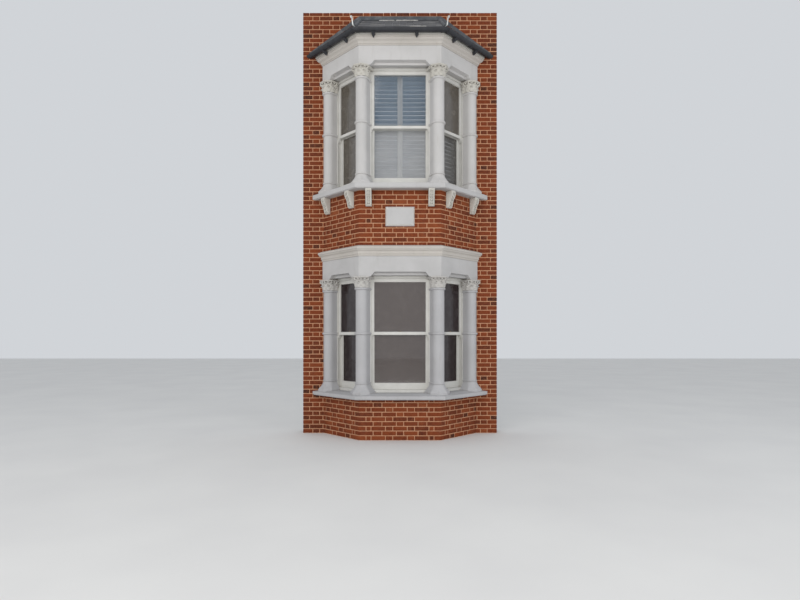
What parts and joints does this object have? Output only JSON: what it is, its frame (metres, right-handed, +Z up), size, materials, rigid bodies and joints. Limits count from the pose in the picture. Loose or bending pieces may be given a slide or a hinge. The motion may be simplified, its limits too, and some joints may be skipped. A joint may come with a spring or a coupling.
{
  "type": "two-storey bay window",
  "caption": "Canted bay window of a terraced house, with sash windows, engaged columns, moulded cornices, brick apron and low hipped roof, on a slice of house wall.",
  "frame": {"origin": "on the ground, on the front face of the house wall, in the middle of the bay", "axes": "+X along the house wall to the viewer's right, -Y towards the street, +Z up"},
  "size_m": [3.297, 1.1075, 7.147],
  "materials": {
    "brickwork": "red stretcher and header bricks in buff mortar",
    "floorboards": "sawn and waxed pine",
    "gutter_iron": "cast iron painted dark blue-grey",
    "hip_iron": "wrought bar painted white",
    "joinery": "timber painted creamy white, satin",
    "lead": "dull grey lead",
    "painted_stone": "stone painted off-white, matt",
    "plaster": "flat white plaster",
    "shutter_paint": "timber painted white, satin",
    "slate": "split blue-grey slate",
    "window_glass": "clear polished glass"
  },
  "bodies": {
    "root": {"apron_wall": "brickwork", "consoles": "painted_stone", "fascia": "joinery", "first_capitals": "painted_stone", "first_ceiling": "plaster", "first_centre_frame": "joinery", "first_centre_sashes": "joinery", "first_columns": "painted_stone", "first_cornice": "painted_stone", "first_floor": "floorboards", "first_frieze": "painted_stone", "first_glass": "window_glass", "first_left_frame": "joinery", "first_left_sashes": "joinery", "first_right_frame": "joinery", "first_right_sashes": "joinery", "first_shutters": "shutter_paint", "first_sill": "painted_stone", "flashing": "lead", "ground_capitals": "painted_stone", "ground_ceiling": "plaster", "ground_centre_frame": "joinery", "ground_centre_sashes": "joinery", "ground_columns": "painted_stone", "ground_cornice": "painted_stone", "ground_floor": "floorboards", "ground_frieze": "painted_stone", "ground_glass": "window_glass", "ground_left_frame": "joinery", "ground_left_sashes": "joinery", "ground_right_frame": "joinery", "ground_right_sashes": "joinery", "ground_sill": "painted_stone", "gutter": "gutter_iron", "gutter_brackets": "gutter_iron", "hip_irons": "hip_iron", "hip_rolls": "lead", "house_wall_foot": "brickwork", "house_wall_head": "brickwork", "house_wall_left": "brickwork", "house_wall_middle": "brickwork", "house_wall_right": "brickwork", "plaque": "painted_stone", "plinth_wall": "brickwork", "roof_slopes": "slate"}
  },
  "joints": []
}
